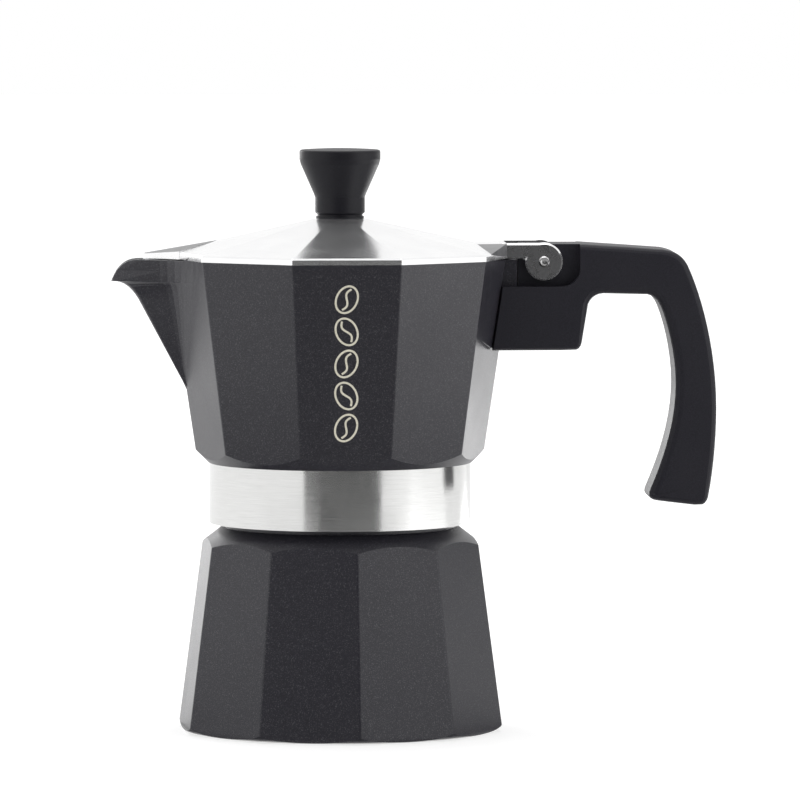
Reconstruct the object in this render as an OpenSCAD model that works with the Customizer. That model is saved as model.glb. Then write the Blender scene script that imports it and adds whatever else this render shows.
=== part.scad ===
// Stovetop moka pot, three-cup size, black-coated aluminium, ten-sided.
// Frame: the origin is the centre of the boiler's underside, +Z is up,
// the spout points along -X and the handle along +X.

/* [Boiler] */
// Corner radius of the ten-sided boiler wall, carried down to the table plane
boiler_r = 45.3; // [44:0.1:46]
// How much the corner radius shrinks for each millimetre of height
boiler_taper = 0.1327; // [0.12:0.001:0.145]
// Turn of the boiler's facets from the collector's
boiler_turn = 4.6; // [0:0.1:9]
// Radius of the rounded bottom edge
boiler_edge_r = 4; // [2:0.5:5]
// Thickness of the boiler wall at the middle of a facet
boiler_wall = 3; // [2.5:0.1:4]
// Height of the boiler's rim, on which the funnel rests
neck_top = 67; // [66:0.5:68]
// Radius of the neck's bore
neck_bore_r = 27.5; // [27.4:0.1:28]

/* [Thread] */
// Rise for each turn
pitch = 3; // [3:0.1:3.2]
// Radius at the bottom of the neck's thread
thread_root_r = 30.6; // [30.2:0.1:30.7]
// Radius over the neck's thread
thread_crest_r = 31.9; // [31.5:0.1:31.9]
// Turns of thread on the neck and in the collar
thread_turns = 2.25; // [1.5:0.25:2.25]

/* [Funnel] */
// Outer radius of the coffee basket
basket_r = 27; // [26:0.1:27]
// Depth of the coffee basket below its rim
basket_depth = 21; // [18:0.5:24]
// Outer radius of the funnel's tube
stem_r = 5; // [4.5:0.1:5.5]
// Gap from the tube's end to the boiler floor
stem_gap = 4; // [3:0.5:6]

/* [Collector] */
// Outer radius of the bare metal collar
collar_r = 35.8; // [35.5:0.1:36]
// Height of the collar's lower edge
collar_bottom = 56.9; // [56.5:0.1:57.5]
// Height of the collector's rim
rim_z = 129.3; // [129:0.1:130]
// Corner radius of the collector at its rim
rim_r = 47.4; // [47:0.1:48]
// How much the corner radius grows for each millimetre of height
collector_taper = 0.149; // [0.14:0.001:0.155]
// Thickness of the collector's wall
collector_wall = 2.5; // [2:0.1:3]
// How far the spout's tip lies from the axis
spout_reach = 62.5; // [60:0.5:64]
// Height of the spout's tip
spout_tip_z = 123; // [122:0.5:124]
// Height of the coffee column's top
column_top = 119; // [110:1:124]

/* [Lid] */
// Corner radius of the lid
lid_r = 47.6; // [47:0.1:48]
// Height that the lid's corner lines would meet at
lid_peak = 141.5; // [140:0.1:143]
// Thickness of the lid
lid_wall = 1.6; // [1.2:0.1:2]
// Width of the lid from the outside of one hinge ear to the other
ear_span = 19.2; // [18:0.1:20]
// Thickness of one hinge ear
ear_t = 2.3; // [2:0.1:2.4]
// Radius of the round end of a hinge ear
ear_r = 5.15; // [5:0.05:5.4]

/* [Hinge] */
// Distance of the hinge pin from the pot's axis
hinge_x = 55.25; // [55.05:0.05:55.5]
// Height of the hinge pin
hinge_z = 128.4; // [128.2:0.1:128.6]
// Radius of the hinge pin
hinge_pin_r = 1.5; // [1.4:0.1:1.6]

/* [Handle] */
// Width of the handle at the pot
handle_w = 22.4; // [21:0.2:24]
// How far the handle reaches from the pot's axis
handle_reach = 102.6; // [100:0.2:105]
// Height of the handle's top bar
handle_top = 133.1; // [133:0.1:133.4]

/* [Knob] */
// Largest radius of the knob
knob_r = 11.05; // [10:0.05:12]
// Height of the knob's top
knob_top = 159.1; // [157:0.1:161]

/* [Safety valve] */
// Height of the valve's axis
valve_z = 32; // [28:1:34]
// Travel of the valve's plunger
valve_travel = 1.2; // [0.8:0.1:1.4]

/* [Hidden] */
$fn = 96;
COATING = [0.2, 0.2, 0.22];
BARE = [0.82, 0.83, 0.84];
PLASTIC = [0.12, 0.12, 0.13];
STEEL = [0.7, 0.7, 0.72];
BRASS = [0.82, 0.68, 0.36];
SILICONE = [0.93, 0.92, 0.88];
eps = 0.01;

sides = 10;
half_side = 180 / sides;          // angle from a corner to the middle of a facet
flat_ratio = cos(half_side);      // radius at the middle of a facet over the corner radius
side_slope = tan(half_side);      // how far a facet falls back for each millimetre from its corner
edge_r = 1.2;                     // rounding of the corners between facets
edge_steps = 4;

// Heights inside the joint between boiler and collector
rim_t = 1;                        // thickness of the funnel's rim
gasket_t = 2.6;
plate_t = 0.8;
gasket_z = neck_top + rim_t;
plate_z = gasket_z + gasket_t;
seat_z = plate_z + plate_t;       // underside of the collector's floor
floor_z = seat_z + 7.6;           // upper side of the collector's floor
floor_t = 3.1;
collar_top = seat_z + 1.9;
socket_r = thread_crest_r + 0.5;  // bore of the collar over the thread
inner_crest_r = thread_root_r + 0.5;
recess_r = 31.6;                  // bore that holds the gasket

boiler_floor = 3.6;
thread_start = neck_top - 8;
clear = 0.3;                      // gap between faces that pass each other
fit_gap = 0.05;                   // gap of a pin or screw in its hole

// Ring of points round a ten-sided section with rounded corners
function ring(r, z, turn, round_r = edge_r) = [
    for (k = [0 : sides - 1], j = [0 : edge_steps])
        let (corner = turn + k * 2 * half_side,
             a = corner + half_side * (2 * j / edge_steps - 1),
             centre = r - round_r / flat_ratio)
        [centre * cos(corner) + round_r * cos(a), centre * sin(corner) + round_r * sin(a), z]];

// Solid skinned over a list of rings that hold the same number of points, from the bottom up.
// The end faces of a bent section are filled in strips between its two long sides.
module loft(rings, bent = false) {
    n = len(rings[0]);
    ends = bent
        ? [for (i = [0 : n / 2 - 2]) each [[i, i + 1, n - 1 - i], [i + 1, n - 2 - i, n - 1 - i]]]
        : [[for (i = [0 : n - 1]) i]];
    last = (len(rings) - 1) * n;
    polyhedron(
        points = [for (r = rings) each r],
        faces = concat(
            ends,
            [for (k = [0 : len(rings) - 2], i = [0 : n - 1])
                let (a = k * n + i, b = k * n + (i + 1) % n) [a, a + n, b + n, b]],
            [for (f = ends) [for (i = [len(f) - 1 : -1 : 0]) last + f[i]]]));
}

function bezier(a, b, c, d, steps) = [
    for (i = [0 : steps - 1])
        let (t = i / steps, s = 1 - t)
        s * s * s * a + 3 * s * s * t * b + 3 * s * t * t * c + t * t * t * d];

// Helical ridge: base_r lies inside the wall that carries it, crest_r is its free edge
module ridge(base_r, crest_r, z0, start, turns) {
    steps_per_turn = 40;
    steps = round(turns * steps_per_turn);
    fade = 4;
    base_half = 1.2;
    crest_half = 0.4;
    wall_r = base_r + 0.3 * (crest_r - base_r);
    loop = [for (i = [0 : steps])
        let (a = start + i * 360 / steps_per_turn,
             z = z0 + pitch * i / steps_per_turn,
             rise = min(1, i / fade, (steps - i) / fade),
             tip = wall_r + (crest_r - wall_r) * rise)
        [for (p = [[base_r, -base_half], [tip, -crest_half], [tip, crest_half], [base_r, base_half]])
            [p[0] * cos(a), p[0] * sin(a), z + p[1]]]];
    inward = crest_r < base_r;
    quads = [for (k = [0 : steps - 1], i = [0 : 3])
        let (a = k * 4 + i, b = k * 4 + (i + 1) % 4) [a, b, b + 4, a + 4]];
    caps = [[3, 2, 1, 0], [for (i = [0 : 3]) steps * 4 + i]];
    shells = concat(quads, caps);
    polyhedron(
        points = [for (p = loop) each p],
        faces = inward ? [for (f = shells) [for (i = [len(f) - 1 : -1 : 0]) f[i]]] : shells);
}

module ring_of(count, r, turn = 0) {
    for (k = [0 : count - 1])
        rotate(turn + k * 360 / count)
            translate([r, 0])
                children();
}

module disc(r, z0, z1) {
    translate([0, 0, z0])
        cylinder(r = r, h = z1 - z0);
}

// Extrudes a side view, drawn in X and Z, across the width of the pot
module across(width) {
    rotate([90, 0, 0])
        translate([0, 0, -width / 2])
            linear_extrude(width)
                children();
}

/* ---- Boiler ---- */

shoulder_low = [46, 45.2];
shoulder_high = [32.4, 55.7];
neck_foot = neck_top - 9.6;

module boiler_shell() {
    intersection() {
        loft([ring(boiler_r, 0, 270 + boiler_turn),
              ring(boiler_r - boiler_taper * 56, 56, 270 + boiler_turn)]);
        rotate_extrude()
            polygon([[0, 0],
                     for (i = [0 : 6])
                         [shoulder_low[0] - 0.4 - boiler_edge_r + boiler_edge_r * sin(i * 15),
                          boiler_edge_r * (1 - cos(i * 15))],
                     shoulder_low, shoulder_high, [0, shoulder_high[1]]]);
    }
}

module boiler_cavity() {
    low_r = boiler_r * flat_ratio - boiler_wall - 0.8;
    high_z = 46;
    high_r = (boiler_r - boiler_taper * high_z) * flat_ratio - boiler_wall;
    rotate_extrude()
        polygon([[0, boiler_floor],
                 for (i = [0 : 4]) [low_r - 4 + 4 * sin(i * 22.5), boiler_floor + 4 * (1 - cos(i * 22.5))],
                 [high_r, high_z], [neck_bore_r, 52], [neck_bore_r, neck_top + 1], [0, neck_top + 1]]);
}

module boiler() {
    color(COATING)
        difference() {
            union() {
                boiler_shell();
                disc(thread_root_r, 50, neck_top);
                disc(thread_crest_r, 50, neck_foot);
                ridge(thread_root_r - 0.4, thread_crest_r, thread_start, 0, thread_turns);
            }
            boiler_cavity();
            at_valve() {
                valve_bar(valve_shank_r + fit_gap, -8, valve_face + 1);
                valve_bar(valve_seat_r, valve_face, valve_face + 6);
            }
        }
}

/* ---- Safety valve, drawn along X and turned to the middle of a rear facet ---- */

valve_turn = 270 + boiler_turn + 9 * half_side;
valve_flat = (boiler_r - boiler_taper * valve_z) * flat_ratio;
valve_face = valve_flat - 1.2;    // spot face cut into the facet
valve_seat_r = 7.8;
valve_shank_r = 4;
valve_washer_t = 1;
valve_hex_flat = 11;
valve_hex_t = 4.5;
valve_in = valve_face - 7.5;      // inner end of the shank
valve_out = valve_face + valve_washer_t + valve_hex_t;
plunger_r = 2.4;
plunger_stem_r = 1;
chamber_r = 2.6;
chamber_in = valve_in + 1.5;
cap_t = 1.6;

module at_valve() {
    rotate(valve_turn)
        translate([0, 0, valve_z])
            children();
}

module valve_bar(r, x0, x1) {
    translate([x0, 0, 0])
        rotate([0, 90, 0])
            rotate(90)
                cylinder(r = r, h = x1 - x0);
}

module valve_tube(r_out, r_in, x0, x1) {
    difference() {
        valve_bar(r_out, x0, x1);
        valve_bar(r_in, x0 - 1, x1 + 1);
    }
}

module valve_body() {
    color(BRASS)
        at_valve()
            difference() {
                union() {
                    valve_bar(valve_shank_r, valve_in, valve_out - 1);
                    intersection() {
                        translate([valve_face + valve_washer_t, 0, 0])
                            rotate([0, 90, 0])
                                cylinder(r = valve_hex_flat / sqrt(3), h = valve_hex_t, $fn = 6);
                        translate([valve_face, 0, 0])
                            rotate([0, 90, 0])
                                cylinder(r1 = valve_hex_flat / 2 + 2.6, r2 = valve_hex_flat / 2 - 0.1,
                                         h = valve_out - valve_face);
                    }
                }
                valve_bar(1.2, valve_in - 1, chamber_in + 1);
                valve_bar(chamber_r, chamber_in, valve_out + 1);
            }
}

module valve_washer() {
    color(SILICONE)
        at_valve()
            valve_tube(valve_hex_flat / 2, valve_shank_r + fit_gap, valve_face, valve_face + valve_washer_t);
}

module valve_cap() {
    color(BRASS)
        at_valve()
            valve_tube(chamber_r, plunger_stem_r + fit_gap, valve_out - cap_t, valve_out);
}

module valve_plunger() {
    color(BRASS)
        at_valve()
            union() {
                valve_bar(plunger_r, chamber_in, chamber_in + 1.4);
                valve_bar(plunger_stem_r, chamber_in, valve_out + 1.4);
            }
}

module valve_spring() {
    wire = 0.3;
    coil_r = 1.75;
    turns = 6;
    steps = 12;
    x0 = chamber_in + 1.4 + wire + 0.02;
    x1 = valve_out - cap_t - wire - 0.02;
    rings = [for (i = [0 : turns * steps])
        let (a = i * 360 / steps, x = x0 + (x1 - x0) * i / (turns * steps))
        [for (j = [0 : 5])
            let (q = coil_r + wire * cos(j * 60))
            [x + wire * sin(j * 60), q * cos(a), q * sin(a)]]];
    color(STEEL)
        at_valve()
            loft(rings);
}

/* ---- Funnel: basket, tube and screen ---- */

basket_wall = 0.8;
basket_rim_r = 31;
basket_floor = neck_top - basket_depth;
cone_end = basket_floor - 8;
stem_wall = 0.8;
stem_low = boiler_floor + stem_gap;
screen_t = 0.6;

module brew_basket() {
    sleeve_r = stem_r + 0.8;
    color(BARE)
        rotate_extrude()
            polygon([[basket_rim_r, neck_top], [basket_rim_r, gasket_z], [basket_r - basket_wall, gasket_z],
                     [basket_r - basket_wall, basket_floor + 0.6], [basket_r - 2.6, basket_floor + 0.6],
                     [stem_r, cone_end + 1.6], [stem_r, cone_end - 3], [sleeve_r, cone_end - 3],
                     [sleeve_r, cone_end], [basket_r - 0.9, basket_floor - 0.7], [basket_r, basket_floor + 0.3],
                     [basket_r, neck_top]]);
}

module funnel_stem() {
    color(BARE)
        difference() {
            disc(stem_r, stem_low, cone_end + 1.2);
            disc(stem_r - stem_wall, stem_low - 1, cone_end + 3);
            // Slanted mouth, so that the tube draws water when it touches the floor
            translate([0, 0, stem_low])
                rotate([0, 12, 0])
                    translate([-20, -20, -10])
                        cube([40, 40, 10]);
        }
}

module perforated_disc(r, z, t, hole_r, rows, gap) {
    translate([0, 0, z])
        linear_extrude(t)
            difference() {
                circle(r);
                circle(hole_r, $fn = 24);
                for (row = [1 : rows])
                    ring_of(6 * row, row * gap, row * 11)
                        circle(hole_r, $fn = 24);
            }
}

module basket_screen() {
    color(BARE)
        perforated_disc(basket_r - basket_wall - 0.1, basket_floor + 0.6, screen_t, 0.9, 4, 5.3);
}

/* ---- Collector ---- */

function collector_r(z) = rim_r - collector_taper * (rim_z - z);
inner_drop = collector_wall / flat_ratio;
chamfer_foot = collar_top + 0.2;

module collector_outside() {
    intersection() {
        loft([ring(collector_r(collar_top - 4), collar_top - 4, 0),
              ring(rim_r, rim_z, 0)]);
        rotate_extrude()
            polygon([[0, collar_top - 3], [collar_r, collar_top - 3], [collar_r, collar_top],
                     [collar_r + 0.4, chamfer_foot], [collar_r + 16, chamfer_foot + 15.6],
                     [collar_r + 16, rim_z + 1], [0, rim_z + 1]]);
    }
}

module collector_inside() {
    low_r = collector_r(floor_z) - inner_drop;
    loft([ring(low_r - 5, floor_z, 0, 6),
          ring(low_r - 2.6, floor_z + 0.5, 0, 6),
          ring(low_r - 1, floor_z + 1.8, 0, 5),
          ring(low_r, floor_z + 4, 0, 3),
          ring(rim_r - inner_drop, rim_z + eps, 0, 2)]);
}

// Spout, from its foot on the corner line up to the lip
spout_foot = [42.75, 95];
spout_bend = [55.1, 118.1];
spout_slope = (spout_bend[0] - spout_foot[0]) / (spout_bend[1] - spout_foot[1]);
spout_half = 25.5;                // half the spout's width at the rim, fillets included
nose_turn = 60;                   // turn of the rounded front edge to each side, in degrees
spout_wall = 2.3;
lip_top = 129;

// Distance of the spout's front edge from the axis: straight, then curling out to the lip
function spout_edge(z, inset, lift) =
    let (bend_z = spout_bend[1], tip_z = spout_tip_z + lift,
         straight = spout_foot[0] + spout_slope * (min(z, bend_z) - spout_foot[1]) - inset,
         reach = spout_reach - 0.4 * inset,
         s = max(0, min(1, (z - bend_z) / (tip_z - bend_z))))
    z <= bend_z ? straight : reach - (reach - straight) * pow(1 - s, 0.4);

function spout_ring(z, inset, lift, back) =
    let (w = max(1, spout_half * (z - spout_foot[1] + 1) / (rim_z - spout_foot[1] + 1) - 1.2 * inset),
         body = collector_r(z) - inset / flat_ratio,
         front = spout_edge(z, inset, lift),
         nose = max(0.6, 0.6 + 2.2 * max(0, (z - 100) / 30) - 0.5 * inset),
         root = [-(body - w * side_slope), w],
         corner = [-(body - 0.52 * w * side_slope), 0.52 * w],
         top = [-front + nose - nose * cos(nose_turn), nose * sin(nose_turn)],
         side = corner + 0.35 * (top - corner),
         half = [[back, w],
                 each [for (i = [0 : 6]) let (t = i / 6, s = 1 - t)
                     s * s * root + 2 * s * t * corner + t * t * side],
                 each [for (i = [0 : 3]) let (a = nose_turn - i * nose_turn / 4)
                     [-front + nose - nose * cos(a), nose * sin(a)]]],
         n = len(half))
    [each [for (p = half) [p[0], p[1], z]],
     [-front, 0, z],
     each [for (i = [n - 1 : -1 : 0]) [half[i][0], -half[i][1], z]]];

// Heights of the sections: closer together where the front edge curls out to the tip
function spout_levels(low, lift) = concat(
    low,
    [for (s = [0, 0.25, 0.48, 0.68, 0.84, 0.94, 0.985, 1])
        spout_bend[1] + s * (spout_tip_z + lift - spout_bend[1])],
    [126, rim_z + 1.7 + lift]);

module spout_outside() {
    loft([for (z = spout_levels([spout_foot[1] - 3, 100, 106, 112], 0)) spout_ring(z, 0, 0, -30)]);
}

// The channel runs out into the wall at its low end
module spout_inside() {
    lift = 1.3;
    loft([spout_ring(94, 3 * spout_wall, lift, -34),
          for (z = spout_levels([99.5, 103, 107, 112], lift)) spout_ring(z, spout_wall, lift, -34)]);
}

// Side view of all that the spout's rim may fill
module spout_side_view() {
    polygon([[-20, 85], [-spout_reach - 3, 85], [-spout_reach - 3, spout_tip_z],
             each bezier([-spout_reach, spout_tip_z], [-spout_reach + 1.2, spout_tip_z + 3.2],
                         [-spout_reach + 3.2, lip_top - 0.1], [-spout_reach + 7, lip_top], 9),
             [-spout_reach + 7, lip_top], [-20, lip_top]]);
}

module spout() {
    mound_r = 12;
    difference() {
        intersection() {
            spout_outside();
            union() {
                across(80)
                    spout_side_view();
                for (side = [-1, 1])
                    translate([-41.8, side * 22, rim_z + 1.2 - mound_r])
                        sphere(mound_r);
            }
        }
        // The lid closes down inside the two mounds
        translate([0, 0, rim_z])
            linear_extrude(4)
                polygon([for (p = ring(lid_r + 0.4, 0, 0)) [p[0], p[1]]]);
    }
}

// Lug behind the pot that carries the handle
lug_half = 8.5;
lug_low = 109.3;
lug_high = 118.5;
lug_end = 60;
lug_top = 128.9;
lug_front = 48;
screw_x = 54;
screw_r = 2;
function joint_x(z) = 43.6 + 0.155 * (z - 121.6);   // where the lug ends and the handle begins

module lug() {
    side_low = 108.8;
    foot_z = 105;
    half_w = handle_w / 2;
    hull()
        for (side = [-1, 1]) {
            corner = 90 - side * 2 * half_side;
            for (z = [side_low, lug_top])
                translate([(collector_r(z) - 1.4) * sin(corner), (collector_r(z) - 1.4) * cos(corner), z])
                    cylinder(r = 1, h = eps, $fn = 16);
            for (p = [[joint_x(foot_z), foot_z], [joint_x(lug_top), lug_top]])
                translate([p[0] - 1.03, side * (half_w - 1.2), p[1] - eps])
                    cylinder(r = 1, h = eps, $fn = 16);
            translate([30, side * 12, side_low])
                cube(eps);
        }
    translate([36, -lug_half, lug_low])
        cube([lug_end - 36, 2 * lug_half, lug_high - lug_low]);
    translate([36, -lug_half, lug_low])
        cube([lug_front - 36, 2 * lug_half, lug_top - lug_low]);
}

module collector() {
    color(COATING)
        difference() {
            union() {
                collector_outside();
                disc(collar_r, collar_bottom, collar_top);
                spout();
                lug();
            }
            collector_inside();
            spout_inside();
            disc(socket_r, collar_bottom - 1, gasket_z - 1.4);
            disc(recess_r, gasket_z - 2, seat_z);
            rotate_extrude()
                polygon([[0, seat_z - 1], [24, seat_z - 1], [24, seat_z], [column_r, floor_z - floor_t],
                         [0, floor_z - floor_t]]);
            disc(column_r + 0.02, seat_z, floor_z + 1);
            translate([screw_x, 0, lug_low - 1])
                cylinder(r = screw_r + fit_gap, h = 8);
        }
    color(COATING)
        intersection() {
            ridge(socket_r + 0.4, inner_crest_r, thread_start - pitch / 4, 90, thread_turns);
            disc(collar_r - 1, collar_bottom, neck_top);
        }
}

column_r = 7;                     // spigot of the column in the collector's floor
column_bore = 3.4;

module coffee_column() {
    port_z = column_top - 7.5;
    port_r = 2.8;
    color(BARE)
        difference() {
            rotate_extrude()
                polygon([[0, floor_z - floor_t], [column_r, floor_z - floor_t], [column_r, floor_z],
                         [9, floor_z], [9, floor_z + 1], [8, floor_z + 2.6], [6.2, column_top - 4],
                         for (i = [0 : 6]) [6.2 * cos(i * 15), column_top - 4 + 4 * sin(i * 15)]]);
            disc(column_bore, floor_z - 5, column_top - 3);
            for (side = [0, 180])
                rotate(side)
                    translate([0, 0, port_z])
                        rotate([90, 0, 0])
                            cylinder(r = port_r, h = 10);
        }
}

module filter_plate() {
    color(BARE)
        perforated_disc(30.5, plate_z, plate_t, 0.9, 4, 5);
}

module gasket() {
    color(SILICONE)
        difference() {
            disc(recess_r - 0.1, gasket_z, plate_z);
            disc(25.5, gasket_z - 1, plate_z + 1);
        }
}

/* ---- Lid ---- */

lid_slope = (lid_peak - rim_z - 1.7) / lid_r;
function lid_line(r) = lid_peak - lid_slope * r;    // height of the lid's corner line
lid_flat_r = 7;
lid_top = lid_line(lid_flat_r);
arm_z = 133.4;                    // top of the hinge arm
beak_reach = 53.6;

module lid_dome(drop, bottom, inset) {
    loft([ring(lid_r - inset, bottom, 0),
          ring(lid_r - inset, rim_z + 1.3 - drop, 0),
          ring(lid_r - inset - 0.4, lid_line(lid_r - 0.4) - drop, 0),
          ring(lid_flat_r, lid_top - drop, 0)]);
}

// Raised wedge from which the two hinge ears grow
module lid_arm() {
    apex = (lid_peak - arm_z) / lid_slope;
    ear_half = ear_span / 2;
    root_x = lid_r - ear_half * side_slope;
    wing_y = 22.8;
    wing_x = lid_r - wing_y * side_slope;
    hull() {
        translate([apex, 0, arm_z])
            cube(eps);
        for (side = [-1, 1]) {
            translate([root_x + 0.6, side * (ear_half - eps / 2), rim_z])
                cube([eps, eps, arm_z - rim_z]);
            translate([wing_x - 0.2, side * wing_y, rim_z])
                cube([eps, eps, 1.7]);
            translate([apex - 3, side * 12, rim_z])
                cube(eps);
        }
    }
}

// Pointed cover over the spout
module lid_beak() {
    wide = [44.2, 10.6];
    lift = 0.45;
    hull() {
        translate([-33.4, 0, lid_line(33.4) - eps])
            cube(eps);
        for (side = [-1, 1]) {
            translate([-wide[0], side * wide[1], rim_z])
                cube([eps, eps, lid_line(47.6) + lift - rim_z]);
            translate([-beak_reach + 2, side * 1.2, rim_z])
                cylinder(r = 2, h = 1.3, $fn = 24);
        }
        translate([-wide[0], 0, rim_z])
            cube([eps, eps, lid_line(wide[0]) + 0.15 - rim_z]);
    }
}

ear_bevel = 0.45;                 // bright edge around the outer face of an ear
arm_x = 43.9;

module lid_ear() {
    difference() {
        union() {
            translate([hinge_x, hinge_z])
                circle(ear_r);
            translate([arm_x, rim_z])
                square([hinge_x - arm_x, arm_z - rim_z]);
            // Web that turns the arm's lower edge into the round end
            translate([hinge_x - ear_r - 0.5, rim_z - 1.2])
                difference() {
                    square([3, 1.5]);
                    circle(0.9);
                }
        }
        translate([hinge_x, hinge_z])
            circle(hinge_pin_r + fit_gap);
    }
}

// Bevelled layer on the outer face of an ear, drawn at Y = 0 and growing towards -Y
module lid_ear_face() {
    difference() {
        union() {
            translate([hinge_x, 0, hinge_z])
                rotate([90, 0, 0])
                    cylinder(r1 = ear_r, r2 = ear_r - ear_bevel, h = ear_bevel);
            hull() {
                translate([arm_x, -eps, rim_z])
                    cube([hinge_x - arm_x, eps, arm_z - rim_z]);
                translate([arm_x, -ear_bevel, rim_z + ear_bevel])
                    cube([hinge_x - arm_x, eps, arm_z - rim_z - 2 * ear_bevel]);
            }
        }
        translate([hinge_x, 0, hinge_z])
            rotate([90, 0, 0])
                translate([0, 0, -1])
                    cylinder(r = hinge_pin_r + fit_gap, h = 3);
    }
}

module lid() {
    plate_t = ear_t - ear_bevel;
    color(BARE)
        difference() {
            union() {
                lid_dome(0, rim_z, 0);
                lid_arm();
                lid_beak();
                for (side = [-1, 1]) {
                    translate([0, side * (ear_span / 2 - ear_bevel - plate_t / 2), 0])
                        across(plate_t)
                            lid_ear();
                    mirror([0, side > 0 ? 1 : 0, 0])
                        translate([0, ear_bevel - ear_span / 2, 0])
                            lid_ear_face();
                }
            }
            difference() {
                lid_dome(lid_wall, rim_z - 1, 2);
                disc(8, lid_top - 2.4, lid_top);
            }
            disc(screw_r + 0.1, lid_top - 5, lid_top + 1);
            across(ear_span - 2 * ear_t)
                translate([lid_r - 0.2, rim_z - 8])
                    square([20, 20]);
        }
}

module hinge_pin() {
    half = ear_span / 2;
    head = 0.35;                  // height of the bevelled end over the ear
    dimple_r = 2.6;
    color(STEEL)
        translate([hinge_x, 0, hinge_z])
            rotate([90, 0, 0])
                difference() {
                    union() {
                        translate([0, 0, -half])
                            cylinder(r = hinge_pin_r, h = 2 * half);
                        translate([0, 0, half])
                            cylinder(r1 = hinge_pin_r, r2 = hinge_pin_r - head, h = head);
                        translate([0, 0, -half - head])
                            cylinder(r1 = hinge_pin_r - head, r2 = hinge_pin_r, h = head);
                    }
                    for (side = [-1, 1])
                        translate([0, 0, side * (half + head - 0.2 + dimple_r)])
                            sphere(dimple_r);
                }
}

/* ---- Handle ---- */

handle_thin = 0.04;               // how much the half width falls for each millimetre outward
grip_x = handle_reach;
block_low = 104.2;
bar_low = 119.5;

// Adds to each point of a stretch of the side view the share of the edge rounding that it takes
function shared(points, share) = [for (p = points) [p[0], p[1], share]];

// Side view of the handle, clockwise from the foot of its front face
handle_outline = concat(
    shared([[joint_x(block_low) + 0.3, block_low], [joint_x(block_low + 0.9), block_low + 0.9]], 0.3),
    shared([[joint_x(108), 108], [joint_x(114), 114], [joint_x(bar_low), bar_low],
            [joint_x(handle_top) - 1, handle_top - 1]], 0.3),
    shared([[joint_x(handle_top), handle_top], [56, handle_top], [66, handle_top], [78, handle_top - 0.8]], 1),
    shared(concat(
        bezier([88, handle_top - 1.5], [91.5, handle_top - 2], [93.3, handle_top - 3.4],
               [grip_x - 8, handle_top - 5.8], 6),
        bezier([grip_x - 8, handle_top - 5.8], [grip_x - 4.1, 119], [grip_x, 104], [grip_x, 88], 12),
        bezier([grip_x, 88], [grip_x, 80], [grip_x - 0.8, 71], [grip_x - 2.2, 63.9], 7)), 1),
    shared(bezier([grip_x - 2.2, 63.9], [grip_x - 2.5, 62.6], [grip_x - 3.3, 61.6], [grip_x - 4.7, 61.6], 4), 0.8),
    shared([[grip_x - 6, 61.7], [grip_x - 11, 62.3], [grip_x - 15, 62.8]], 1),
    shared(bezier([grip_x - 16.4, 63], [grip_x - 18, 63.2], [grip_x - 18.9, 64], [grip_x - 18.4, 65.4], 4), 0.7),
    shared(bezier([grip_x - 18.4, 65.4], [grip_x - 14, 75.5], [grip_x - 11.2, 85], [grip_x - 11.2, 95], 9), 1.7),
    shared(bezier([grip_x - 11.2, 95], [grip_x - 11.2, 102], [grip_x - 13, 110.5], [grip_x - 15.2, 115.8], 7), 1.7),
    shared(bezier([grip_x - 15.2, 115.8], [grip_x - 16.3, 118.3], [grip_x - 17.8, bar_low],
                  [grip_x - 20.2, bar_low], 6), 1.5),
    shared(bezier([71.5, bar_low + 0.2], [69.1, bar_low + 0.1], [67.5, bar_low - 1.4], [67, bar_low - 4], 6), 1.1),
    shared(bezier([65.6, block_low + 2], [65.3, block_low + 0.6], [64.6, block_low], [63.2, block_low], 4), 0.7),
    shared([[60, block_low], [48, block_low]], 0.7));

function handle_half(x) = handle_w / 2 - handle_thin * (x - 44);

// Outward normal of the side view at point i
function outline_normal(i) =
    let (n = len(handle_outline),
         a = handle_outline[(i + n - 1) % n],
         b = handle_outline[(i + 1) % n],
         d = [b[0] - a[0], b[1] - a[1]])
    [-d[1], d[0]] / norm(d);

function handle_ring(share, inset) = [
    for (i = [0 : len(handle_outline) - 1])
        let (p = handle_outline[i],
             q = [p[0], p[1]] - inset * p[2] * outline_normal(i))
        [q[0], share * handle_half(q[0]), q[1]]];

module handle_body() {
    levels = [[-1, 1.35], [-0.972, 0.7], [-0.92, 0.22], [-0.85, 0], [0.85, 0], [0.92, 0.22], [0.972, 0.7], [1, 1.35]];
    loft([for (l = levels) handle_ring(l[0], l[1])], bent = true);
}

recess_half = ear_span / 2 - ear_t - 0.2;
recess_low = 121.6;
recess_end = 65.1;

module ear_recess() {
    corner = 5;
    difference() {
        translate([20, recess_low])
            square([recess_end - 20, 30]);
        translate([recess_end - corner, recess_low])
            difference() {
                square(corner);
                translate([0, corner])
                    circle(corner);
            }
    }
}

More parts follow.
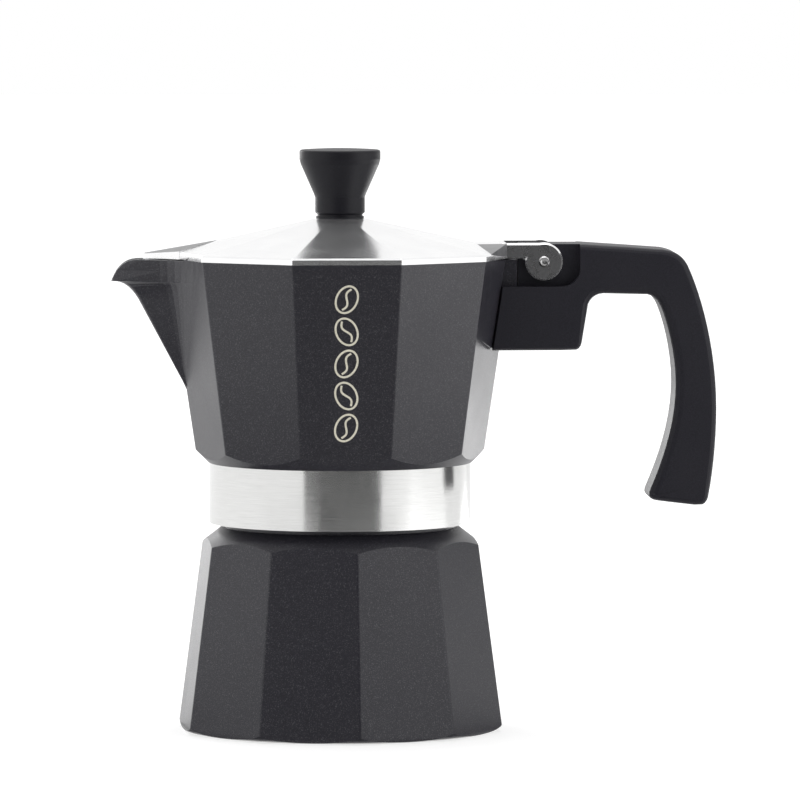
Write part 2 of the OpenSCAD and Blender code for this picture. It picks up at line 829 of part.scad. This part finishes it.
module handle() {
    pocket = lug_half + clear;
    head_r = 4.3;
    sweep_r = 7.7;                // the lid's back edge passes outside this radius
    color(PLASTIC)
        difference() {
            handle_body();
            for (side = [-1, 1])
                translate([0, side * (recess_half + 10), 0])
                    across(20)
                        ear_recess();
            // Pocket for the collector's lug, and room for the corner of the pot above and below it
            translate([20, -pocket, lug_low - clear])
                cube([lug_end + clear - 20, 2 * pocket, lug_high - lug_low + 2 * clear]);
            translate([20, -pocket, lug_low])
                cube([lug_front + clear - 20, 2 * pocket, 40]);
            translate([20, -pocket - clear, block_low - 1])
                cube([collector_r(lug_low) + clear - 20, 2 * (pocket + clear), lug_low - block_low + 1]);
            across(40)
                difference() {
                    translate([40, hinge_z])
                        square([hinge_x - 40 - 3, 10]);
                    translate([hinge_x, hinge_z])
                        circle(sweep_r);
                }
            translate([hinge_x, 0, hinge_z])
                rotate([90, 0, 0])
                    translate([0, 0, -20])
                        cylinder(r = hinge_pin_r + fit_gap, h = 40);
            translate([screw_x, 0, block_low - 1])
                cylinder(r = head_r, h = 1 + head_depth);
            translate([screw_x, 0, block_low - 1])
                cylinder(r = screw_r + 0.2, h = 10);
        }
}

washer_t = 0.6;
head_depth = 2.7;                 // depth of the hole that hides the screw's head

module handle_screw() {
    seat = block_low + head_depth - washer_t;
    color(STEEL)
        difference() {
            union() {
                translate([screw_x, 0, seat])
                    cylinder(r = screw_r, h = 9.5);
                translate([screw_x, 0, seat - 1.6])
                    cylinder(r1 = 3, r2 = 3.8, h = 1.6);
            }
            for (turn = [0, 90])
                translate([screw_x, 0, seat - 1.6])
                    rotate(turn)
                        cube([4, 0.9, 2], center = true);
        }
}

module handle_screw_washer() {
    color(STEEL)
        translate([screw_x, 0, block_low + head_depth - washer_t])
            difference() {
                cylinder(r = 4, h = washer_t);
                translate([0, 0, -1])
                    cylinder(r = screw_r + 0.2, h = 3);
            }
}

/* ---- Knob ---- */

knob_base = lid_top + 0.6;
insert_top = knob_base + 9;

module knob() {
    color(PLASTIC)
        difference() {
            rotate_extrude()
                polygon([[0, knob_base], [6.15, knob_base], [6.15, knob_base + 0.5], [6.8, knob_base + 1.1],
                         [6.8, knob_base + 5.2], [7.1, knob_base + 6.1], [knob_r - 0.35, knob_top - 4.3],
                         [knob_r, knob_top - 2.9], [knob_r, knob_top - 1],
                         for (i = [0 : 3]) [knob_r - 0.6 + 0.6 * cos(i * 30), knob_top - 1 + 0.6 * sin(i * 30)],
                         for (i = [1 : 5]) [(knob_r - 0.6) * (1 - i / 5), knob_top - 0.4 + 0.4 * sin(i * 18)]]);
            disc(3.2, knob_base - 1, insert_top);
        }
}

module knob_washer() {
    color(PLASTIC)
        difference() {
            disc(6.55, lid_top, knob_base);
            disc(screw_r + 0.2, lid_top - 1, knob_base + 1);
        }
}

module knob_insert() {
    color(BRASS)
        difference() {
            disc(3.2, knob_base, insert_top);
            disc(screw_r + fit_gap, knob_base - 1, insert_top - 1);
        }
}

lid_under = lid_top - 2.4;

module knob_screw() {
    seat = lid_under - washer_t;
    color(STEEL)
        difference() {
            union() {
                disc(screw_r, seat, insert_top - 2);
                rotate_extrude()
                    polygon([[0, seat - 2.2], [2.4, seat - 2.2], [3.6, seat - 1.2], [3.8, seat], [0, seat]]);
            }
            for (turn = [0, 90])
                translate([0, 0, seat - 2])
                    rotate(turn)
                        cube([4, 0.9, 2.4], center = true);
        }
}

module knob_screw_washer() {
    color(STEEL)
        difference() {
            disc(4.6, lid_under - washer_t, lid_under);
            disc(screw_r + 0.2, lid_under - 2, lid_under + 1);
        }
}

boiler();
valve_body();
valve_washer();
valve_plunger();
valve_spring();
valve_cap();
brew_basket();
funnel_stem();
basket_screen();
filter_plate();
gasket();
collector();
coffee_column();
handle();
handle_screw();
handle_screw_washer();
hinge_pin();
lid();
knob();
knob_washer();
knob_screw();
knob_screw_washer();
knob_insert();
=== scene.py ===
"""Looks of a stovetop moka pot: finishes, valve spring, printed motif, studio and camera."""

import math

import bpy
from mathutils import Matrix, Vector


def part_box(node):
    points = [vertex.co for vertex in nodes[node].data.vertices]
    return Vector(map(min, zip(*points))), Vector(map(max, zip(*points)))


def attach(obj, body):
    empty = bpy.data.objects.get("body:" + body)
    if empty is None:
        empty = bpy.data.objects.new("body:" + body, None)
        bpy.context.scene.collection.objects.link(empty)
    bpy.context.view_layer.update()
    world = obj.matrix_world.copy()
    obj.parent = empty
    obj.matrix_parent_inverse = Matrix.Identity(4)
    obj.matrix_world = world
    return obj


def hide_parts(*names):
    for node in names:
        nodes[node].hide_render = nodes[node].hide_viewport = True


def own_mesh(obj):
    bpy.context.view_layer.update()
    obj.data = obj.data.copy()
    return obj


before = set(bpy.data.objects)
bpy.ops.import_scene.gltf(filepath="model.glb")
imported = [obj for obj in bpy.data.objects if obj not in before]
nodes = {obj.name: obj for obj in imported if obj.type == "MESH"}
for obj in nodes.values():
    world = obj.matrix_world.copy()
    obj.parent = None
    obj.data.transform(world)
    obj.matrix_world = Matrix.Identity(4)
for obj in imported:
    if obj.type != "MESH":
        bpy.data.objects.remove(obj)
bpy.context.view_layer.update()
MM = 0.001
SCATTERING = 0.9        # metallic share of bare metal whose fine marks scatter a little light


# ---- Node helpers ----

def new_material(name):
    """An empty Principled material, its node tree and its shader."""
    material = bpy.data.materials.new(name)
    material.use_nodes = True
    return material, material.node_tree, material.node_tree.nodes["Principled BSDF"]


def add(tree, kind, **settings):
    """A node of the tree with its properties, and its input sockets by name, set."""
    node = tree.nodes.new(kind)
    for key, value in settings.items():
        if key in node.inputs:
            node.inputs[key].default_value = value
        else:
            setattr(node, key, value)
    return node


def place(tree, scale=(1.0, 1.0, 1.0)):
    """The piece's own coordinates in metres, scaled along each axis."""
    coordinates = add(tree, "ShaderNodeTexCoord")
    mapping = add(tree, "ShaderNodeMapping")
    mapping.inputs["Scale"].default_value = scale
    tree.links.new(coordinates.outputs["Object"], mapping.inputs["Vector"])
    return mapping.outputs["Vector"]


def noise(tree, size, scale=(1.0, 1.0, 1.0), detail=2.0, roughness=0.5):
    """Noise whose lumps are about size millimetres across."""
    texture = add(tree, "ShaderNodeTexNoise", Scale=1 / (size * MM), Detail=detail, Roughness=roughness)
    tree.links.new(place(tree, scale), texture.inputs["Vector"])
    return texture.outputs["Fac"]


def remap(tree, value, from_low, from_high, to_low, to_high):
    """A value moved from one range to another, and held inside it."""
    node = add(tree, "ShaderNodeMapRange")
    node.inputs["From Min"].default_value = from_low
    node.inputs["From Max"].default_value = from_high
    node.inputs["To Min"].default_value = to_low
    node.inputs["To Max"].default_value = to_high
    tree.links.new(value, node.inputs["Value"])
    return node.outputs["Result"]


def mix_colour(tree, factor, low, high):
    """A colour between low and high, each a colour or a socket."""
    node = add(tree, "ShaderNodeMix", data_type="RGBA")
    tree.links.new(factor, node.inputs["Factor"])
    for socket, colour in ((node.inputs[6], low), (node.inputs[7], high)):
        if isinstance(colour, tuple):
            socket.default_value = (*colour, 1.0)
        else:
            tree.links.new(colour, socket)
    return node.outputs[2]


def bumps(tree, shader, layers):
    """Bump on the shader from (height socket, depth in millimetres) pairs, one after another."""
    normal = None
    for height, depth in layers:
        node = add(tree, "ShaderNodeBump", Strength=1.0, Distance=depth * MM)
        tree.links.new(height, node.inputs["Height"])
        if normal is not None:
            tree.links.new(normal, node.inputs["Normal"])
        normal = node.outputs["Normal"]
    tree.links.new(normal, shader.inputs["Normal"])


# ---- Finishes ----

def coating():
    """Charcoal non-stick coating with the fine sandy grain and pale flakes of sprayed paint."""
    material, tree, shader = new_material("charcoal_coating")
    grain = noise(tree, 0.34, detail=3.0, roughness=0.65)
    flakes = remap(tree, noise(tree, 0.26, detail=1.0), 0.57, 0.70, 0.0, 1.0)
    cloud = noise(tree, 22.0, detail=2.0)
    pits = remap(tree, grain, 0.35, 0.7, 0.0, 1.0)
    base = mix_colour(tree, pits, (0.0125, 0.0118, 0.0175), (0.022, 0.0208, 0.0290))
    tree.links.new(mix_colour(tree, flakes, base, (0.070, 0.069, 0.078)), shader.inputs["Base Color"])
    tree.links.new(remap(tree, cloud, 0.3, 0.7, 0.33, 0.38), shader.inputs["Roughness"])
    shader.inputs["Specular IOR Level"].default_value = 0.5
    bumps(tree, shader, [(grain, 0.03)])
    return material


def turned_aluminium(name, colour, rough, line=0.09):
    """Bare aluminium turned on a lathe: fine rings round the pot's axis."""
    material, tree, shader = new_material(name)
    rings = noise(tree, line, scale=(0.012, 0.012, 1.0), detail=3.0, roughness=0.6)
    smears = noise(tree, 7.0, scale=(1.0, 1.0, 0.5), detail=3.0)
    dark = tuple(0.86 * c for c in colour)
    shade = mix_colour(tree, remap(tree, rings, 0.3, 0.7, 0.0, 1.0), dark, colour)
    tree.links.new(shade, shader.inputs["Base Color"])
    tree.links.new(remap(tree, smears, 0.3, 0.7, rough - 0.02, rough + 0.05), shader.inputs["Roughness"])
    shader.inputs["Metallic"].default_value = SCATTERING
    shader.inputs["Specular Tint"].default_value = (0.80, 0.80, 0.80, 1.0)
    bumps(tree, shader, [(rings, 0.004)])
    return material


def cast_aluminium():
    """The satin inside of the castings: soft lumps and a fine blasted grain."""
    material, tree, shader = new_material("cast_aluminium")
    lumps = noise(tree, 5.0, detail=3.0)
    grain = noise(tree, 0.35, detail=2.0, roughness=0.6)
    high = remap(tree, lumps, 0.3, 0.7, 0.0, 1.0)
    colour = mix_colour(tree, high, (0.60, 0.61, 0.62), (0.74, 0.74, 0.75))
    tree.links.new(colour, shader.inputs["Base Color"])
    tree.links.new(remap(tree, grain, 0.3, 0.7, 0.34, 0.46), shader.inputs["Roughness"])
    shader.inputs["Metallic"].default_value = 1.0
    bumps(tree, shader, [(lumps, 0.05), (grain, 0.012)])
    return material


def polished_aluminium():
    """The lid: buffed bright, with faint cloudiness and hair-fine polishing marks."""
    material, tree, shader = new_material("polished_aluminium")
    marks = noise(tree, 0.12, scale=(0.06, 1.0, 0.3), detail=2.0, roughness=0.6)
    cloud = noise(tree, 9.0, detail=3.0)
    clear = remap(tree, cloud, 0.3, 0.7, 0.0, 1.0)
    colour = mix_colour(tree, clear, (0.90, 0.90, 0.905), (0.94, 0.94, 0.942))
    tree.links.new(colour, shader.inputs["Base Color"])
    tree.links.new(remap(tree, cloud, 0.3, 0.7, 0.16, 0.22), shader.inputs["Roughness"])
    shader.inputs["Metallic"].default_value = SCATTERING
    bumps(tree, shader, [(marks, 0.0012)])
    return material


def dark_reflection_aluminium():
    """Darker aluminium for some faces of the lid: painted dark reflection on its polished metal."""
    material, tree, shader = new_material("dark_reflection_aluminium")
    lumps = noise(tree, 3.0, detail=3.0)
    high = remap(tree, lumps, 0.3, 0.7, 0.0, 1.0)
    colour = mix_colour(tree, high, (0.13, 0.13, 0.135), (0.26, 0.26, 0.265))
    tree.links.new(colour, shader.inputs["Base Color"])
    tree.links.new(remap(tree, lumps, 0.3, 0.7, 0.28, 0.36), shader.inputs["Roughness"])
    shader.inputs["Metallic"].default_value = 1.0
    bumps(tree, shader, [(lumps, 0.02)])
    return material


def moulded_plastic(name, pale):
    """Black heat-proof plastic with the fine spark-eroded texture of its mould."""
    material, tree, shader = new_material(name)
    texture = noise(tree, 0.28, detail=2.0, roughness=0.6)
    cloud = noise(tree, 14.0, detail=2.0)
    dark = tuple(0.68 * c for c in pale)
    colour = mix_colour(tree, remap(tree, texture, 0.35, 0.65, 0.0, 1.0), dark, pale)
    tree.links.new(colour, shader.inputs["Base Color"])
    tree.links.new(remap(tree, cloud, 0.3, 0.7, 0.42, 0.50), shader.inputs["Roughness"])
    shader.inputs["Specular IOR Level"].default_value = 0.25
    bumps(tree, shader, [(texture, 0.015)])
    return material


def metal(name, colour, rough, tarnish):
    """A bright small fitting, a little duller in patches."""
    material, tree, shader = new_material(name)
    patches = noise(tree, 2.2, detail=3.0)
    scratches = noise(tree, 0.1, scale=(1.0, 0.1, 0.1), detail=2.0)
    factor = remap(tree, patches, 0.35, 0.7, 0.0, 1.0)
    tree.links.new(mix_colour(tree, factor, colour, tarnish), shader.inputs["Base Color"])
    tree.links.new(remap(tree, patches, 0.3, 0.7, rough, rough + 0.1), shader.inputs["Roughness"])
    shader.inputs["Metallic"].default_value = 1.0
    bumps(tree, shader, [(scratches, 0.002)])
    return material


def silicone():
    """Soft cream seal."""
    material, tree, shader = new_material("silicone")
    mottle = noise(tree, 3.0, detail=2.0)
    skin = noise(tree, 0.3, detail=1.0)
    colour = mix_colour(tree, mottle, (0.74, 0.71, 0.64), (0.82, 0.80, 0.74))
    tree.links.new(colour, shader.inputs["Base Color"])
    tree.links.new(remap(tree, skin, 0.3, 0.7, 0.45, 0.55), shader.inputs["Roughness"])
    shader.inputs["Subsurface Weight"].default_value = 0.1
    shader.inputs["Subsurface Radius"].default_value = (0.002, 0.0015, 0.001)
    bumps(tree, shader, [(skin, 0.01)])
    return material


def printing_ink():
    """Cream ink, a little uneven over the coating's grain."""
    material, tree, shader = new_material("cream_ink")
    wear = noise(tree, 0.35, detail=2.0)
    worn = remap(tree, wear, 0.3, 0.75, 0.0, 1.0)
    colour = mix_colour(tree, worn, (0.76, 0.73, 0.60), (0.58, 0.55, 0.45))
    tree.links.new(colour, shader.inputs["Base Color"])
    tree.links.new(remap(tree, wear, 0.3, 0.7, 0.5, 0.6), shader.inputs["Roughness"])
    bumps(tree, shader, [(wear, 0.01)])
    return material


COATING = coating()
COLLAR = turned_aluminium("turned_collar", (0.68, 0.68, 0.672), 0.12)
SPUN = turned_aluminium("spun_aluminium", (0.80, 0.80, 0.81), 0.26, line=0.2)
CAST = cast_aluminium()
LID = polished_aluminium()
PLASTIC = moulded_plastic("moulded_plastic", (0.0215, 0.0206, 0.0280))
KNOB = moulded_plastic("knob_plastic", (0.0130, 0.0125, 0.0175))
STEEL = metal("bright_steel", (0.66, 0.66, 0.67), 0.18, (0.48, 0.47, 0.46))
BRASS = metal("machined_brass", (0.80, 0.61, 0.30), 0.22, (0.62, 0.44, 0.20))
SILICONE = silicone()
INK = printing_ink()
# Painted dark reflection for the lid's wedges over the spout and before the hinge.
DARK_REFLECTION = dark_reflection_aluminium()
# A grey metal for the hinge ears' flat sides: painted reflection of dark surroundings on the polished lid.
EAR_REFLECTION = metal("ear_painted_reflection", (0.50, 0.50, 0.51), 0.24, (0.36, 0.36, 0.37))

ONE_FINISH = {
    SPUN: ["brew_basket", "funnel_stem", "basket_screen", "filter_plate"],
    CAST: ["coffee_column"],
    PLASTIC: ["handle"],
    KNOB: ["knob", "knob_washer"],
    STEEL: ["hinge_pin", "handle_screw", "handle_screw_washer", "knob_screw", "knob_screw_washer",
            "valve_spring"],
    BRASS: ["valve_body", "valve_plunger", "valve_cap", "knob_insert"],
    SILICONE: ["gasket", "valve_washer"],
}


def finish(node, *materials):
    """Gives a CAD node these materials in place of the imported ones."""
    mesh = nodes[node].data
    mesh.materials.clear()
    for material in materials:
        mesh.materials.append(material)
    for polygon in mesh.polygons:
        polygon.material_index = 0


def paint(node, choose):
    """Picks a material for each face from its centre in millimetres and its normal."""
    for polygon in nodes[node].data.polygons:
        centre = polygon.center / MM
        flat = Vector((centre.x, centre.y, 0.0))
        outward = polygon.normal.dot(flat.normalized()) if flat.length > 0 else 0.0
        polygon.material_index = choose(centre, flat.length, polygon.normal, outward)


for material, names in ONE_FINISH.items():
    for name in names:
        finish(name, material)

# Where one finish gives way to another, in millimetres
shoulder_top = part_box("collector")[0].z / MM + 0.4     # the boiler's turned neck stands above this
collar_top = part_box("gasket")[1].z / MM + 2.7          # the collector's coating starts above this
inside_r = 38.5          # the boiler's inner faces lie nearer to the axis
chamber_r = 40.0         # so do the collector's floor and the foot of its column
chamber_top = 120.0
lug_x, lug_half = 40.0, 12.0             # the handle's lug: its inner end and half its width
# The spout and wedge zones below mark lid faces that get the darker metal: painted dark reflection.
beak_x, beak_half = -33.0, 11.0          # the lid's cover over the spout
ear_x, ear_side = 44.0, 9.7             # the lid's hinge ears: their inner end, and how far out they stand
wedge_x = (34.0, 46.0)                   # the hollows between the lid's facets and its ears
wedge_half, wedge_low = 22.0, 130.0


def boiler_finish(centre, radius, normal, outward):
    """Coated outside; turned metal on the neck, the base and its edge; cast metal inside."""
    if centre.z > shoulder_top or normal.z < -0.9:
        return 1
    faces_in = outward < 0.05 or normal.z > 0.95
    return 2 if radius < inside_r and faces_in else 0


def collector_finish(centre, radius, normal, outward):
    """Coated outside; turned metal on the collar and rim; cast metal inside the chamber."""
    if centre.z < collar_top:
        return 1
    at_lug = centre.x > lug_x and abs(centre.y) < lug_half and outward > -0.2
    on_floor = normal.z > 0.3 and radius < chamber_r and centre.z < chamber_top
    return 2 if not at_lug and (outward < -0.05 or on_floor) else 0


def lid_finish(centre, radius, normal, outward):
    """Buffed all over; the wedges over the spout and before the hinge get a darker metal as painted dark
    reflection, and the ears' flat sides a grey metal as painted reflection.
    """
    over_spout = centre.x < beak_x and abs(centre.y) < beak_half and 0.9 < normal.z < 0.9999
    beside_ear = wedge_x[0] < centre.x < wedge_x[1] and ear_side < abs(centre.y) < wedge_half
    before_hinge = beside_ear and centre.z > wedge_low and abs(normal.y) > 0.1
    on_ear = centre.x > ear_x and abs(normal.y) > 0.95
    return 1 if over_spout or before_hinge else 2 if on_ear else 0


finish("lid", LID, DARK_REFLECTION, EAR_REFLECTION)
paint("lid", lid_finish)
finish("boiler", COATING, COLLAR, CAST)
paint("boiler", boiler_finish)
finish("collector", COATING, COLLAR, CAST)
paint("collector", collector_finish)


# ---- Valve spring ----

def squeezed_spring(node):
    """A copy of the coil that stands for the CAD one, fixed to the base."""
    spring = nodes[node].copy()
    spring.data = nodes[node].data.copy()
    spring.name = spring.data.name = "squeezed_spring"
    bpy.context.scene.collection.objects.link(spring)
    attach(spring, "base")
    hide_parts(node)
    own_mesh(spring)


squeezed_spring("valve_spring")


# ---- Printed motif ----

def ribbon(points, width, closed):
    """The two edges of a flat stripe of this width along a line of points."""
    last = len(points) - 1
    edges = []
    for i, (x, y) in enumerate(points):
        before = points[i - 1] if closed or i > 0 else points[i]
        after = points[(i + 1) % len(points)] if closed or i < last else points[i]
        along = Vector((after[0] - before[0], after[1] - before[1])).normalized()
        side = Vector((-along.y, along.x)) * width / 2
        edges.append((Vector((x, y)) + side, Vector((x, y)) - side))
    return edges


def bean(wide, tall, tilt):
    """The stripes of a coffee bean seen from its flat side: an oval and its wavy crease."""
    turn = math.radians(tilt)
    stroke = 0.55

    def turned(x, y):
        return (x * math.cos(turn) - y * math.sin(turn), x * math.sin(turn) + y * math.cos(turn))

    steps = [2 * math.pi * i / 48 for i in range(48)]
    oval = [turned(wide / 2 * math.cos(a), tall / 2 * math.sin(a)) for a in steps]
    crease = [turned(0.13 * wide * math.sin(2 * math.pi * t), (t - 0.5) * (tall - 2.6 * stroke))
              for t in [i / 20 for i in range(21)]]
    return [(ribbon(oval, stroke, True), True), (ribbon(crease, stroke, False), False)]


def column_of_beans(name, body):
    """Five beans, one above another, printed on the pot's front facet."""
    corner_r, rim_z, slope = 47.4, 129.3, 0.149
    flat_ratio = math.cos(math.pi / 10)
    up = Vector((0.0, -slope * flat_ratio, 1.0)).normalized()
    out = Vector((0.0, -1.0, -slope * flat_ratio)).normalized()
    lowest, highest, count = 85.2, 120.0, 5
    proud = 0.05
    corners, faces = [], []
    for i in range(count):
        z = lowest + (highest - lowest) * i / (count - 1)
        base = Vector((0.0, -(corner_r - slope * (rim_z - z)) * flat_ratio, z)) + out * proud
        for edges, closed in bean(wide=5.6, tall=7.6, tilt=24 if i % 2 else -24):
            first = len(corners)
            for pair in edges:
                corners += [(base + Vector((p.x, 0.0, 0.0)) + up * p.y) * MM for p in pair]
            for j in range(len(edges) if closed else len(edges) - 1):
                k = (j + 1) % len(edges)
                faces.append((first + 2 * j, first + 2 * j + 1, first + 2 * k + 1, first + 2 * k))
    mesh = bpy.data.meshes.new(name)
    mesh.from_pydata(corners, [], faces)
    mesh.materials.append(INK)
    motif = bpy.data.objects.new(name, mesh)
    bpy.context.scene.collection.objects.link(motif)
    thickness = motif.modifiers.new("thickness", "SOLIDIFY")
    thickness.thickness = 2 * proud * MM
    thickness.offset = 1.0 if mesh.polygons[0].normal.dot(out) < 0 else -1.0
    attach(motif, body)


column_of_beans("printed_beans", "upper_pot")


# ---- Studio ----

def stage_material(name, grey, glow):
    """A matt grey that also gives off a white glow."""
    material, tree, shader = new_material(name)
    shader.inputs["Base Color"].default_value = (grey, grey, grey, 1.0)
    shader.inputs["Roughness"].default_value = 0.9
    shader.inputs["Emission Color"].default_value = (1.0, 1.0, 1.0, 1.0)
    shader.inputs["Emission Strength"].default_value = glow
    return material


def sheet_of(name, centre, across, up, material):
    """A flat rectangle from its centre and its two half sides."""
    corners = [centre - across - up, centre + across - up, centre + across + up, centre - across + up]
    mesh = bpy.data.meshes.new(name)
    mesh.from_pydata(corners, [], [(0, 1, 2, 3)])
    mesh.materials.append(material)
    sheet = bpy.data.objects.new(name, mesh)
    bpy.context.scene.collection.objects.link(sheet)
    return sheet


def softbox(name, place_at, aim, width, height, brightness):
    """A rectangular soft light whose surface is brightness times as bright as white paper."""
    light = bpy.data.lights.new(name, "AREA")
    light.shape = "RECTANGLE"
    light.size = width
    light.size_y = height
    light.energy = brightness * math.pi * width * height
    box = bpy.data.objects.new(name, light)
    box.location = place_at
    box.rotation_euler = (aim - box.location).to_track_quat("-Z", "Y").to_euler()
    bpy.context.scene.collection.objects.link(box)


def reflected_only(sheet):
    """Hides a sheet from everything but mirror-like rays: it is a painted reflection that lights and shades
    nothing.
    """
    sheet.visible_camera = False
    sheet.visible_diffuse = False
    sheet.visible_shadow = False


middle = Vector((0.0, 0.0, 0.08))
sheet_of("floor", Vector((0, 0, 0)), Vector((6, 0, 0)), Vector((0, 6, 0)),
         stage_material("pale_floor", 0.6, 0.55))

# A black card in front of the pot. Its upper part shades but isn't mirrored, so the lid's back stays bright.
black_card = stage_material("black_card", 0.02, 0.03)
for name, low, high in (("dark_card", 0.0, 0.5), ("high_card", 0.5, 0.9)):
    card = sheet_of(name, Vector((0.0, -0.62, (low + high) / 2)), Vector((0.404, 0, 0)),
                    Vector((0, 0, (high - low) / 2)), black_card)
    card.visible_camera = False
    card.visible_glossy = name == "dark_card"

# Sheets on the floor seen only in reflections: painted dark and bright reflections. Each as name, centre,
# half width, half depth, grey and glow
for name, centre, half_wide, half_deep, grey, glow in (
        ("dark_mat", (0.05, -0.30, 0.001), 0.25, 0.31, 0.25, 0.1),
        ("left_mat", (-0.15, -0.08, 0.002), 0.10, 0.10, 0.02, 0.0),
        ("right_glow", (0.46, -0.10, 0.002), 0.16, 0.22, 0.1, 2.4),
        ("right_rim", (0.35, 0.47, 0.001), 0.15, 0.13, 0.1, 4.6)):
    reflected_only(sheet_of(name, Vector(centre), Vector((half_wide, 0, 0)), Vector((0, half_deep, 0)),
                            stage_material(name + "_card", grey, glow)))
# A dark sheet at the right, also seen only in reflections: a painted dark reflection.
reflected_only(sheet_of("grey_side", Vector((1.07, 0.545, 0.40)), Vector((-0.137, 0.268, 0)),
                        Vector((0, 0, 0.39)), stage_material("side_card", 0.05, 0.05)))
# Soft lights behind on the left, in front on the right, and overhead
softbox("left_rim", Vector((-1.0, 2.2, 0.35)), middle, 0.7, 1.2, 5.2)
softbox("right_box", Vector((1.3, -0.75, 0.62)), middle, 0.8, 0.6, 1.5)
softbox("top_box", Vector((0.0, 0.35, 1.7)), middle, 1.6, 1.4, 1.1)

world = bpy.data.worlds.new("white_room")
bpy.context.scene.world = world
world.use_nodes = True
world.node_tree.nodes["Background"].inputs["Color"].default_value = (1.0, 1.0, 1.0, 1.0)
world.node_tree.nodes["Background"].inputs["Strength"].default_value = 1.0


# ---- Camera ----

def look_from(azimuth, distance, height, aside, aim_height, width_seen):
    """A camera turned by azimuth degrees from -Y that sees width_seen of the plane through its target."""
    turn = math.radians(azimuth)
    towards = Vector((math.sin(turn), -math.cos(turn), 0.0))
    right = Vector((math.cos(turn), math.sin(turn), 0.0))
    camera = bpy.data.objects.new("camera", bpy.data.cameras.new("camera"))
    camera.location = towards * distance + Vector((0, 0, height))
    target = right * aside + Vector((0, 0, aim_height))
    camera.rotation_euler = (target - camera.location).to_track_quat("-Z", "Y").to_euler()
    camera.data.sensor_width = 36.0
    camera.data.lens = camera.data.sensor_width * (target - camera.location).length / width_seen
    camera.data.clip_end = 50.0
    bpy.context.scene.collection.objects.link(camera)
    bpy.context.scene.camera = camera


look_from(azimuth=-2.4, distance=2.3, height=0.240, aside=0.0164, aim_height=0.0902, width_seen=0.2188)

view = bpy.context.scene.view_settings
view.view_transform = "Standard"
view.look = "None"
